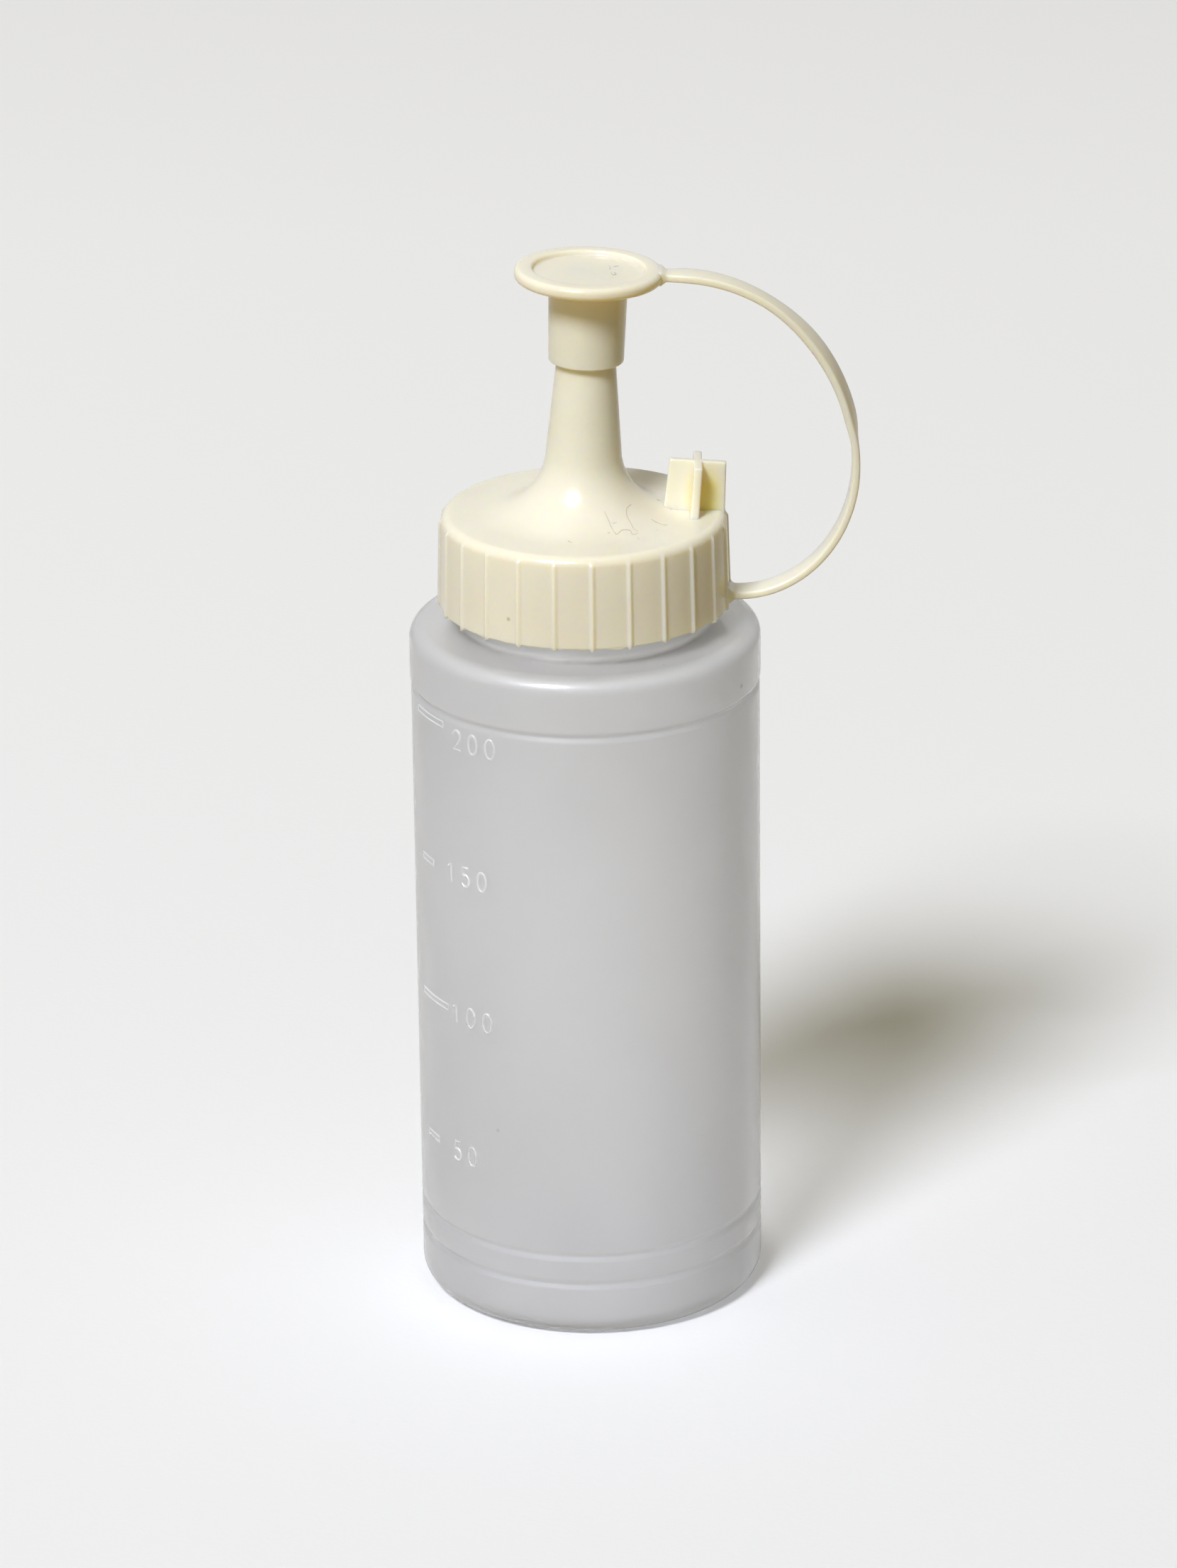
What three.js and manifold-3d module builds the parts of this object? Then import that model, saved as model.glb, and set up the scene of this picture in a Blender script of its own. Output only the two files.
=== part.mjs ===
// Squeeze sauce bottle: a blown bottle, and a moulded closure made of a ribbed screw cap
// with a flared nozzle, a cap for the nozzle's tip, and the strap that ties the two together.
// Millimetres, +Z up. The origin is on the bottle's axis, on the surface that it stands on.
// The strap's loop points along +X.

import * as THREE from 'three';
import { mergeVertices } from 'three/addons/utils/BufferGeometryUtils.js';
import Module from 'manifold-3d';

const wasm = await Module();
wasm.setup();

// Clearances
const seatGap = 0.3;              // between faces that seat on each other
const threadGap = 0.4;            // between the neck's thread and the cap's inside
const sleeveClearance = 0.1;      // added to the seat gap round the nozzle

// Bottle
const bodyRadius = 27;
const bodyWall = 1.1;
const shoulderHeight = 110.2;     // top of the shoulder above the standing surface
const shoulderRound = 2.5;
const shoulderSwell = 0.15;       // how much wider the body is above the top groove
const baseRound = 3.4;
const standRingWidth = 3;         // flat ring that the bottle stands on
const pushUpHeight = 0.8;         // how far the middle of the base is raised
const pushUpSlope = 2;            // width of the slope up to that middle
const grooveDepth = 0.45;
const grooveWidth = 1.6;
const lowGrooveHeights = [9.1, 13.9];
const topGrooveDrop = 9.4;        // from the shoulder's top down to the top groove
const neckWall = 1.4;
const neckRootRound = 0.9;
const lipRound = 0.45;

// Thread on the neck
const threadDepth = 0.9;
const threadFoot = 2;             // height of the ridge where it joins the neck
const threadCrest = 0.8;
const threadPitch = 4;
const threadTurns = 1.5;
const threadBelowMouth = 2.2;     // from the mouth down to the ridge's upper end

// Screw cap
const capAboveShoulder = 3.2;     // from the shoulder's top up to the skirt's lower edge
const skirtHeight = 14.5;
const capBottomRadius = 22.35;
const capTopRadius = 21.95;
const capWall = 1.6;
const capTopWall = 1.5;
const capRound = 1.5;
const capInnerRound = 0.8;
const ribCount = 24;
const ribPhase = 3;               // degrees from +X to the first rib
const ribRound = 0.55;
const ribProud = 0.32;
const ribOverhang = 0.25;         // how far a rib runs past the skirt's lower edge

// Nozzle
const flareRound = 10.4;
const nozzleFootRadius = 5.75;
const nozzleTipRadius = 3.45;
const nozzleHeight = 36.7;        // above the cap's top
const nozzleWall = 1.2;
const nozzleLean = 2.1;           // degrees, towards the strap
const tipHoleRadius = 1.6;
const tipHoleDepth = 1.2;
const tipRound = 0.5;

// Cross peg on which the tip cap is parked
const pegAxisRadius = 17;
const pegHeight = 8;
const pegWidth = 9.4;
const pegDraft = 0.35;            // taken from each side over the peg's height
const pegThickness = 1.3;
const pegLean = 4.5;              // degrees, outwards

// Tip cap
const discRadius = 11.3;
const discThickness = 2;
const discRound = 0.85;
const recessRadius = 8.6;
const recessDepth = 0.8;
const recessRound = 0.4;
const sleeveTopRadius = 6.05;
const sleeveBottomRadius = 5.75;
const sleeveLength = 12.7;
const sleeveRound = 0.3;

// Strap, and the stubs on the cap and the disc that carry it
const strapWidth = 4.6;
const strapThickness = 1.2;
const strapReach = 41.8;          // from the bottle's axis to the middle of the band
const strapWaistRise = 7.1;       // from the cap's top up to where the loop is widest
const strapRise = 0.4;            // of the band's lower face above the skirt's lower edge
const stubReach = 1.3;
const stubSink = 0.9;
const stubFillet = 1.1;
const discStubWidth = 3.6;

// Fineness of the round stretches
const facetError = 0.05;
const bodySegments = 52;
const capSegments = 60;
const tipSegments = 36;
const ribSides = 8;
const strapDivisions = 28;
const threadSteps = 24;           // per turn

// Sizes that follow from the ones above
const degree = Math.PI / 180;
const leanAngle = nozzleLean * degree;
const shoulderRadius = bodyRadius + shoulderSwell;
const topGrooveHeight = shoulderHeight - topGrooveDrop;
const capBottomHeight = shoulderHeight + capAboveShoulder;
const capTopHeight = capBottomHeight + skirtHeight;
const capInnerRadius = capTopRadius - capWall;
const capUnderside = capTopHeight - capTopWall;
const neckRadius = capInnerRadius - threadGap - threadDepth;
const mouthHeight = capUnderside - seatGap;
const nozzleFootHeight = capTopHeight + flareRound;
const nozzleTipHeight = capTopHeight + nozzleHeight;
const sleeveCeiling = nozzleTipHeight + seatGap;
const discTopHeight = sleeveCeiling + discThickness;
const discMiddleHeight = sleeveCeiling + discThickness / 2;
const sleeveBottomHeight = sleeveCeiling - sleeveLength;
const strapRootHeight = capBottomHeight + strapRise + strapThickness / 2;
const strapWaistHeight = capTopHeight + strapWaistRise;

const frostedPlastic = new THREE.MeshStandardMaterial({ color: 0xc9cacd, roughness: 0.42, metalness: 0 });
const creamPlastic = new THREE.MeshStandardMaterial({ color: 0xf0e8cf, roughness: 0.35, metalness: 0 });

// A closed mesh becomes a solid, once only its positions are left and its seams are merged.
function toSolid(geometry) {
  const bare = geometry.clone();
  bare.deleteAttribute('normal');
  bare.deleteAttribute('uv');
  const merged = mergeVertices(bare, 1e-4);
  const vertProperties = new Float32Array(merged.attributes.position.array);
  const triVerts = new Uint32Array(merged.index.array);
  return new wasm.Manifold(new wasm.Mesh({ numProp: 3, vertProperties, triVerts }));
}

function joined(geometries) {
  const whole = geometries.map(toSolid).reduce((sum, next) => sum.add(next));
  const mesh = whole.getMesh();
  const geometry = new THREE.BufferGeometry();
  geometry.setAttribute('position', new THREE.BufferAttribute(new Float32Array(mesh.vertProperties), 3));
  geometry.setIndex(new THREE.BufferAttribute(new Uint32Array(mesh.triVerts), 1));
  geometry.computeVertexNormals();
  return geometry;
}

// Points of an outline from its corners, each [x, y] or [x, y, round]. A rounded corner
// becomes an arc that touches both of its sides.
function outline(corners) {
  const points = [];
  corners.forEach(([x, y, round], index) => {
    const corner = new THREE.Vector2(x, y);
    if (!round) {
      points.push(corner);
      return;
    }
    const before = corners[(index + corners.length - 1) % corners.length];
    const after = corners[(index + 1) % corners.length];
    const toBefore = new THREE.Vector2(before[0], before[1]).sub(corner).normalize();
    const toAfter = new THREE.Vector2(after[0], after[1]).sub(corner).normalize();
    const halfAngle = Math.acos(toBefore.dot(toAfter)) / 2;
    const inward = toBefore.clone().add(toAfter).normalize();
    const centre = corner.clone().addScaledVector(inward, round / Math.sin(halfAngle));
    const sweep = (Math.PI - 2 * halfAngle) * Math.sign(toAfter.cross(toBefore));
    const steps = Math.ceil(Math.abs(sweep) / Math.sqrt((8 * facetError) / round));
    const setback = round / Math.tan(halfAngle);
    const start = corner.clone().addScaledVector(toBefore, setback);
    for (let step = 0; step <= steps; step += 1) {
      points.push(start.clone().rotateAround(centre, (sweep * step) / steps));
    }
  });
  return points;
}

// Turns an outline of radius and height round the Z axis. A ring's outline closes on itself.
function revolve(corners, segments, isRing = false) {
  const points = outline(corners);
  if (isRing) points.push(points[0].clone());
  return new THREE.LatheGeometry(points, segments).rotateX(Math.PI / 2);
}

// Extrudes an outline in X and Z to a width that is centred on Y = 0.
function extrudeAcross(points, width) {
  const geometry = new THREE.ExtrudeGeometry(new THREE.Shape(points), { depth: width, bevelEnabled: false });
  return geometry.translate(0, 0, -width / 2).rotateX(Math.PI / 2);
}

// Where a point of the upright nozzle lies once the nozzle leans: the axis bends along the
// flare's height and runs straight above it.
function leanPoint(x, height) {
  const rise = Math.max(height - capTopHeight, 0);
  const bend = Math.min(rise, flareRound);
  const angle = (leanAngle * bend) / flareRound;
  const bendRadius = flareRound / leanAngle;
  const straight = height - capTopHeight - bend;
  return [
    bendRadius * (1 - Math.cos(angle)) + straight * Math.sin(angle) + x * Math.cos(angle),
    capTopHeight + bendRadius * Math.sin(angle) + straight * Math.cos(angle) - x * Math.sin(angle),
  ];
}

function leanNozzle(geometry) {
  const position = geometry.attributes.position;
  for (let index = 0; index < position.count; index += 1) {
    const [x, z] = leanPoint(position.getX(index), position.getZ(index));
    position.setX(index, x);
    position.setZ(index, z);
  }
  return geometry;
}

function nozzleRadiusAt(height) {
  const share = (height - nozzleFootHeight) / (nozzleTipHeight - nozzleFootHeight);
  return THREE.MathUtils.lerp(nozzleFootRadius, nozzleTipRadius, share);
}

// Bottle: one blown wall with a raised base, rings round the body and an open neck.
function bottleWall() {
  const inner = bodyRadius - bodyWall;
  const shoulderInner = shoulderRadius - bodyWall;
  const neckInner = neckRadius - neckWall;
  const ringInner = bodyRadius - baseRound - standRingWidth;
  const raisedRadius = ringInner - pushUpSlope;
  const groove = (height, radiusAbove) => [
    [bodyRadius, height - grooveWidth / 2],
    [bodyRadius - grooveDepth, height, grooveDepth],
    [radiusAbove, height + grooveWidth / 2],
  ];
  return revolve([
    [0, pushUpHeight],
    [raisedRadius, pushUpHeight],
    [ringInner, 0],
    [bodyRadius, 0, baseRound],
    ...lowGrooveHeights.flatMap((height) => groove(height, bodyRadius)),
    ...groove(topGrooveHeight, shoulderRadius),
    [shoulderRadius, shoulderHeight, shoulderRound],
    [neckRadius, shoulderHeight, neckRootRound],
    [neckRadius, mouthHeight, lipRound],
    [neckInner, mouthHeight, lipRound],
    [neckInner, shoulderHeight - bodyWall, neckRootRound],
    [shoulderInner, shoulderHeight - bodyWall, shoulderRound - bodyWall],
    [shoulderInner, topGrooveHeight],
    [inner, topGrooveHeight],
    [inner, bodyWall, baseRound - bodyWall],
    [ringInner, bodyWall],
    [raisedRadius, pushUpHeight + bodyWall],
    [0, pushUpHeight + bodyWall],
  ], bodySegments);
}

// Thread: a right-handed ridge round the neck that fades into it at both ends.
function neckThread() {
  const sectionCount = Math.round(threadSteps * threadTurns);
  const top = mouthHeight - threadBelowMouth - threadFoot / 2;
  const positions = [];
  const indices = [];
  for (let section = 0; section <= sectionCount; section += 1) {
    const turn = section / threadSteps;
    const height = top - threadPitch * (threadTurns - turn);
    const isEnd = section === 0 || section === sectionCount;
    const crestRadius = isEnd ? neckRadius - threadDepth / 4 : neckRadius + threadDepth;
    const footRadius = neckRadius - threadDepth / 2;
    const corners = [
      [footRadius, -threadFoot / 2],
      [crestRadius, -threadCrest / 2],
      [crestRadius, threadCrest / 2],
      [footRadius, threadFoot / 2],
    ];
    for (const [radius, offset] of corners) {
      const angle = 2 * Math.PI * turn;
      positions.push(radius * Math.cos(angle), radius * Math.sin(angle), height + offset);
    }
    if (section === sectionCount) continue;
    const first = 4 * section;
    for (let side = 0; side < 4; side += 1) {
      const here = first + side;
      const next = first + ((side + 1) % 4);
      indices.push(here, here + 4, next);
      indices.push(next, here + 4, next + 4);
    }
  }
  const last = 4 * sectionCount;
  indices.push(0, 1, 2, 0, 2, 3);
  indices.push(last, last + 2, last + 1, last, last + 3, last + 2);
  const geometry = new THREE.BufferGeometry();
  geometry.setAttribute('position', new THREE.Float32BufferAttribute(positions, 3));
  geometry.setIndex(indices);
  return geometry;
}

// Screw cap: the skirt, the top and the hollow nozzle are one wall.
function capWallAndNozzle() {
  const flareOuter = nozzleFootRadius + flareRound;
  const nozzleFootInner = nozzleFootRadius - nozzleWall;
  const nozzleTipInner = nozzleTipRadius - nozzleWall;
  const holeTop = nozzleTipHeight - tipHoleDepth;
  const flareUnder = flareOuter - nozzleFootInner;
  const upright = revolve([
    [capInnerRadius, capBottomHeight],
    [capBottomRadius, capBottomHeight, seatGap],
    [capTopRadius, capTopHeight, capRound],
    [nozzleFootRadius, capTopHeight, flareRound],
    [nozzleFootRadius, nozzleFootHeight],
    [nozzleTipRadius, nozzleTipHeight, tipRound],
    [tipHoleRadius, nozzleTipHeight],
    [tipHoleRadius, holeTop],
    [nozzleTipInner, holeTop - nozzleWall],
    [nozzleFootInner, nozzleFootHeight],
    [nozzleFootInner, capUnderside, flareUnder - capTopWall],
    [capInnerRadius, capUnderside, capInnerRound],
  ], capSegments, true);
  return leanNozzle(upright);
}

// Rib: a rounded ridge that follows the skirt's draft and fades out at the top's round.
function skirtRib(index) {
  const lower = capBottomHeight - ribOverhang;
  const upper = capTopHeight - capRound / 2;
  const draft = Math.atan((capBottomRadius - capTopRadius) / (capTopHeight - capBottomHeight));
  const middleRadius = (capBottomRadius + capTopRadius) / 2 + ribProud - ribRound;
  return new THREE.CapsuleGeometry(ribRound, upper - lower - 2 * ribRound, 2, ribSides)
    .rotateX(Math.PI / 2)
    .rotateY(-draft)
    .translate(middleRadius, 0, (lower + upper) / 2)
    .rotateZ((ribPhase + (360 * index) / ribCount) * degree);
}

// Peg: two drafted fins that cross, leaning outwards together.
function pegFin(turn) {
  const foot = -capTopWall / 2;
  const points = outline([
    [-pegWidth / 2, foot],
    [pegWidth / 2, foot],
    [pegWidth / 2 - pegDraft, pegHeight],
    [pegDraft - pegWidth / 2, pegHeight],
  ]);
  return extrudeAcross(points, pegThickness)
    .rotateZ(turn)
    .rotateY(pegLean * degree)
    .translate(pegAxisRadius, 0, capTopHeight);
}

// Stub on the skirt from which the strap starts, with a fillet above it.
function skirtStub() {
  const upper = strapRootHeight + strapThickness / 2;
  const lower = strapRootHeight - strapThickness / 2;
  return extrudeAcross(outline([
    [capBottomRadius - stubSink, lower],
    [capBottomRadius + stubReach, lower],
    [capBottomRadius + stubReach, upper],
    [capBottomRadius, upper, stubFillet],
    [capBottomRadius, upper + stubFillet],
    [capBottomRadius - stubSink, upper + stubFillet],
  ]), strapWidth);
}

// Tip cap: a disc with a shallow recess, and the sleeve that grips the nozzle.
function discAndSleeve() {
  const recessFloor = discTopHeight - recessDepth;
  const clearance = seatGap + sleeveClearance;
  return revolve([
    [0, sleeveCeiling],
    [nozzleRadiusAt(sleeveCeiling) + clearance, sleeveCeiling],
    [nozzleRadiusAt(sleeveBottomHeight) + clearance, sleeveBottomHeight],
    [sleeveBottomRadius, sleeveBottomHeight, sleeveRound],
    [sleeveTopRadius, sleeveCeiling],
    [discRadius, sleeveCeiling, discRound],
    [discRadius, discTopHeight, discRound],
    [recessRadius, discTopHeight, recessRound],
    [recessRadius, recessFloor],
    [0, recessFloor],
  ], tipSegments);
}

function discStub() {
  return extrudeAcross(outline([
    [discRadius - stubSink, discMiddleHeight - strapThickness / 2],
    [discRadius + stubReach, discMiddleHeight - strapThickness / 2],
    [discRadius + stubReach, discMiddleHeight + strapThickness / 2],
    [discRadius - stubSink, discMiddleHeight + strapThickness / 2],
  ]), discStubWidth);
}

// Strap: a flat band in two quarter ellipses, from the skirt's stub out to the loop's
// widest place and up to the disc's stub.
function strapBand() {
  const rootX = capBottomRadius + stubReach + seatGap;
  const [headX, headZ] = leanPoint(discRadius + stubReach + seatGap, discMiddleHeight);
  const lower = new THREE.EllipseCurve(
    rootX, strapWaistHeight, strapReach - rootX, strapWaistHeight - strapRootHeight, -Math.PI / 2, 0);
  const upper = new THREE.EllipseCurve(
    headX, strapWaistHeight, strapReach - headX, headZ - strapWaistHeight, 0, Math.PI / 2);
  const middle = new THREE.CurvePath();
  middle.add(lower);
  middle.add(upper);
  const outer = [];
  const inner = [];
  for (let step = 0; step <= strapDivisions; step += 1) {
    const point = middle.getPointAt(step / strapDivisions);
    const along = middle.getTangentAt(step / strapDivisions);
    const across = new THREE.Vector2(along.y, -along.x).multiplyScalar(strapThickness / 2);
    outer.push(point.clone().add(across));
    inner.unshift(point.clone().sub(across));
  }
  return extrudeAcross([...outer, ...inner], strapWidth);
}

function part(name, geometry, material) {
  const mesh = new THREE.Mesh(geometry, material);
  mesh.name = name;
  return mesh;
}

const ribs = Array.from({ length: ribCount }, (_, index) => skirtRib(index));
const pegFins = [pegFin(0), pegFin(Math.PI / 2)];

const sauceBottle = new THREE.Group();
sauceBottle.add(part('bottle', joined([bottleWall(), neckThread()]), frostedPlastic));
sauceBottle.add(part('screw_cap', joined([capWallAndNozzle(), ...ribs, ...pegFins, skirtStub()]), creamPlastic));
sauceBottle.add(part('strap', strapBand(), creamPlastic));

// The tip cap sits on the leaning stretch of the nozzle, in a group at the flare's upper end.
const nozzleFrame = new THREE.Group();
const [footX, footZ] = leanPoint(0, nozzleFootHeight);
nozzleFrame.position.set(footX, 0, footZ);
nozzleFrame.rotation.y = leanAngle;
const tipCap = part('tip_cap', joined([discAndSleeve(), discStub()]), creamPlastic);
tipCap.position.z = -nozzleFootHeight;
nozzleFrame.add(tipCap);
sauceBottle.add(nozzleFrame);

export default sauceBottle;
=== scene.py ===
import bpy
import bmesh
import math
import random
from mathutils import Matrix, Vector


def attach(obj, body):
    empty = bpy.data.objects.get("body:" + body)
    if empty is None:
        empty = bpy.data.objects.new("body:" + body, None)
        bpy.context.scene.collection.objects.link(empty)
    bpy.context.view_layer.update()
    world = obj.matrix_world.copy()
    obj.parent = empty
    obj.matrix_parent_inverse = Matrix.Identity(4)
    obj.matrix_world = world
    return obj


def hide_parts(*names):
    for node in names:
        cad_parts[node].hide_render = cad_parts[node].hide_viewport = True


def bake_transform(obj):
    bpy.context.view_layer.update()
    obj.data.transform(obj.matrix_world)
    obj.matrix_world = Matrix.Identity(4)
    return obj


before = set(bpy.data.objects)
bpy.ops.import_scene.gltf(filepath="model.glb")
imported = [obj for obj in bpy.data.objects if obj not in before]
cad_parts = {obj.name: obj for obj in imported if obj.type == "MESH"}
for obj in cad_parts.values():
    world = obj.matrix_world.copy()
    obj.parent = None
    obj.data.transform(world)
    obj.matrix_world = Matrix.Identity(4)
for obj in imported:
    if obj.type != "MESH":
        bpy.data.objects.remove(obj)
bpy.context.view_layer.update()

# Squeeze sauce bottle: frosted bottle, ribbed cream screw cap, nozzle, tethered tip cap.
# Blender works in metres; the dictionaries give millimetres and degrees unless they say otherwise.
# Heights are above the floor, and the strap's loop points along +X.
mm = 0.001
scene = bpy.context.scene

# Camera, at the photograph's angle
camera = {
    "distance": 999.4,           # from the bottle's axis, along -Y
    "height": 483.7,
    "turn": -0.0155,             # to the left, about Z
    "tilt": 21.8645,             # below the horizon
    "roll": -0.6998,
    "focal": 9750,               # in pixels of the photograph
    "frameHeight": 2212,         # in pixels
    "sensor": 36,
    "nearest": 10,               # nothing closer than this is drawn
}


def makeCamera(values):
    data = bpy.data.cameras.new("camera")
    data.sensor_fit = "VERTICAL"
    data.sensor_height = values["sensor"]
    data.lens = values["focal"] / values["frameHeight"] * values["sensor"]
    data.clip_start = values["nearest"] * mm
    eye = bpy.data.objects.new("camera", data)
    scene.collection.objects.link(eye)
    turn = Matrix.Rotation(math.radians(values["turn"]), 4, "Z")
    tilt = Matrix.Rotation(math.radians(90 - values["tilt"]), 4, "X")
    roll = Matrix.Rotation(math.radians(values["roll"]), 4, "Z")
    place = Matrix.Translation((0, -values["distance"] * mm, values["height"] * mm))
    eye.matrix_world = place @ turn @ tilt @ roll
    scene.camera = eye


makeCamera(camera)
print("camera placed")


# Node helpers
def addNode(tree, kind, settings=None, inputs=None):
    node = tree.nodes.new(kind)
    for name, value in (settings or {}).items():
        setattr(node, name, value)
    for name, value in (inputs or {}).items():
        socket = node.inputs[name]
        if isinstance(value, bpy.types.NodeSocket):
            tree.links.new(value, socket)
        else:
            socket.default_value = value
    return node


def addNoise(tree, place, scale, detail, distortion=0):
    inputs = {"Vector": place, "Scale": scale, "Detail": detail, "Distortion": distortion}
    return addNode(tree, "ShaderNodeTexNoise", None, inputs).outputs["Fac"]


def addRange(tree, value, fromLow, fromHigh, toLow, toHigh):
    inputs = {"Value": value, "From Min": fromLow, "From Max": fromHigh}
    inputs.update({"To Min": toLow, "To Max": toHigh})
    return addNode(tree, "ShaderNodeMapRange", None, inputs).outputs["Result"]


# The colour sockets of a mix node share their names with others, so they are given by number
def addMix(tree, factor, first, second):
    inputs = {0: factor, 6: first, 7: second}
    return addNode(tree, "ShaderNodeMix", {"data_type": "RGBA"}, inputs).outputs[2]


def addMath(tree, operation, first, second):
    inputs = {0: first, 1: second}
    return addNode(tree, "ShaderNodeMath", {"operation": operation}, inputs).outputs[0]


def addPlace(tree):
    return addNode(tree, "ShaderNodeTexCoord").outputs["Object"]


def addAxes(tree, place):
    return addNode(tree, "ShaderNodeSeparateXYZ", None, {"Vector": place}).outputs


# Shared effect: a broad cloud of tone, fine moulding grain and a few small specks
effect = {
    "inputs": {"Cloud Scale": 40, "Grain Scale": 2500, "Speck Scale": 700, "Speck Share": 0.02},
    "outputs": ("Cloud", "Grain", "Specks"),
    "cloudDetail": 3,
    "cloudDistortion": 0.4,
    "grainDetail": 4,
    "speckEdge": (0.1, 0.22),    # where a speck starts to fade and where it ends, in cells
}


def makePlasticEffect(values):
    group = bpy.data.node_groups.new("plasticEffect", "ShaderNodeTree")
    for name, start in values["inputs"].items():
        socket = group.interface.new_socket(name, in_out="INPUT", socket_type="NodeSocketFloat")
        socket.default_value = start
    for name in values["outputs"]:
        group.interface.new_socket(name, in_out="OUTPUT", socket_type="NodeSocketFloat")
    given = group.nodes.new("NodeGroupInput").outputs
    place = addPlace(group)
    cloud = addNoise(
        group, place, given["Cloud Scale"], values["cloudDetail"], values["cloudDistortion"])
    grain = addNoise(group, place, given["Grain Scale"], values["grainDetail"])
    cellInputs = {"Vector": place, "Scale": given["Speck Scale"]}
    cells = addNode(group, "ShaderNodeTexVoronoi", None, cellInputs).outputs
    chance = addNode(group, "ShaderNodeSeparateColor", None, {"Color": cells["Color"]})
    chosen = addMath(group, "LESS_THAN", chance.outputs["Red"], given["Speck Share"])
    near = addRange(group, cells["Distance"], *values["speckEdge"], 1, 0)
    specks = addMath(group, "MULTIPLY", chosen, near)
    results = dict(zip(values["outputs"], (cloud, grain, specks)))
    addNode(group, "NodeGroupOutput", None, results)
    return group


plasticEffect = makePlasticEffect(effect)


# Mixes a tint of painted light and shade into the colour. Each pair of heights runs from no tint to
# all of it, and so does the pair of distances from an upright line
def addPaintedLight(tree, colour, values):
    axes = addAxes(tree, addPlace(tree))
    parts = [
        addRange(tree, axes["Z"], none * mm, full * mm, 0, 1)
        for none, full in values["heights"]
    ]
    if "line" in values:
        flat = addNode(tree, "ShaderNodeCombineXYZ", None, {"X": axes["X"], "Y": axes["Y"]})
        x, y = values["line"]
        ends = {0: flat.outputs[0], 1: (x * mm, y * mm, 0)}
        line = addNode(tree, "ShaderNodeVectorMath", {"operation": "DISTANCE"}, ends)
        none, full = values["distances"]
        parts.append(addRange(tree, line.outputs["Value"], none * mm, full * mm, 0, 1))
    factor = addMath(tree, "MULTIPLY", parts[0], values["share"])
    for part in parts[1:]:
        factor = addMath(tree, "MULTIPLY", factor, part)
    return addMix(tree, factor, colour, (*values["colour"], 1))


# Spans of the cloud over which the tone and the roughness change
toneCloud = (0.35, 0.65)
roughCloud = (0.3, 0.7)


def makePlastic(name, values):
    material = bpy.data.materials.new(name)
    material.use_nodes = True
    tree = material.node_tree
    shader = tree.nodes["Principled BSDF"]
    group = addNode(tree, "ShaderNodeGroup", {"node_tree": plasticEffect}, values["effect"])
    cloud = addRange(tree, group.outputs["Cloud"], *toneCloud, 0, 1)
    body = addMix(tree, cloud, (*values["dark"], 1), (*values["light"], 1))
    # Painted glow, shade and light, mixed into the colour
    for paintedLayer in values["paintedLights"]:
        body = addPaintedLight(tree, body, paintedLayer)
    colour = addMix(tree, group.outputs["Specks"], body, (*values["speck"], 1))
    tree.links.new(colour, shader.inputs["Base Color"])
    rough = addRange(tree, group.outputs["Cloud"], *roughCloud, *values["roughness"])
    tree.links.new(rough, shader.inputs["Roughness"])
    bump = addNode(tree, "ShaderNodeBump", None, {
        "Height": group.outputs["Grain"],
        "Strength": values["bump"],
        "Distance": values["bumpDepth"] * mm,
    })
    tree.links.new(bump.outputs["Normal"], shader.inputs["Normal"])
    for socket, value in values["shader"].items():
        shader.inputs[socket].default_value = value
    path = addNode(tree, "ShaderNodeLightPath")
    shade = values["shadowAlpha"]
    if "shadowFoot" in values:
        height = addAxes(tree, addPlace(tree))["Z"]
        shade = addRange(tree, height, 0, values["shadowFoot"] * mm, 1, shade)
    alpha = addRange(tree, path.outputs["Is Shadow Ray"], 0, 1, 1, shade)
    tree.links.new(alpha, shader.inputs["Alpha"])
    return material


cream = {
    "effect": {"Cloud Scale": 45, "Grain Scale": 2600, "Speck Scale": 520, "Speck Share": 0.012},
    "dark": (0.78, 0.735, 0.6),
    "light": (0.82, 0.775, 0.645),
    "speck": (0.6, 0.52, 0.36),
    "paintedLights": (),
    "shadowAlpha": 0.65,         # of each wall face, so that some light passes the thin walls
    "roughness": (0.2, 0.27),
    "bump": 0.25,
    "bumpDepth": 0.03,
    "shader": {
        "IOR": 1.49,
        "Subsurface Weight": 0.8,
        "Subsurface Radius": (1, 0.72, 0.18),
        "Subsurface Scale": 0.003,
    },
}
creamPlastic = makePlastic("creamPlastic", cream)

# Painted glow and shade: light caught in the thin plastic turns golden, and that is painted into
# the colour under the disc, where the sleeve ends on the nozzle and in the peg's inner corner
sleevePaintedGlow = {
    "colour": (0.93, 0.77, 0.38),
    "share": 0.6,
    "heights": ((159, 164.6), (164.96, 164.94)),
}
# Painted shade of the sleeve's end with a golden glow, in a band round the nozzle
nozzlePaintedGlow = {
    "colour": (0.84, 0.66, 0.3),
    "share": 0.3,
    "heights": ((149.3, 152), (157, 152.5)),
}
# Painted golden shade in the peg's inner corner, towards the right-front quadrant, which lies in
# shade
pegPaintedGlow = {
    "colour": (0.84, 0.7, 0.08),
    "share": 0.95,
    "heights": ((135.8, 132),),
    "line": (18.6, -1.6),
    "distances": (3.4, 0.6),
}
capPlastic = makePlastic("capPlastic", dict(cream, paintedLights=(nozzlePaintedGlow,)))
pegPlastic = makePlastic("pegPlastic", dict(cream, paintedLights=(pegPaintedGlow,)))
discPlastic = makePlastic("discPlastic", dict(cream, paintedLights=(sleevePaintedGlow,)))
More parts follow.
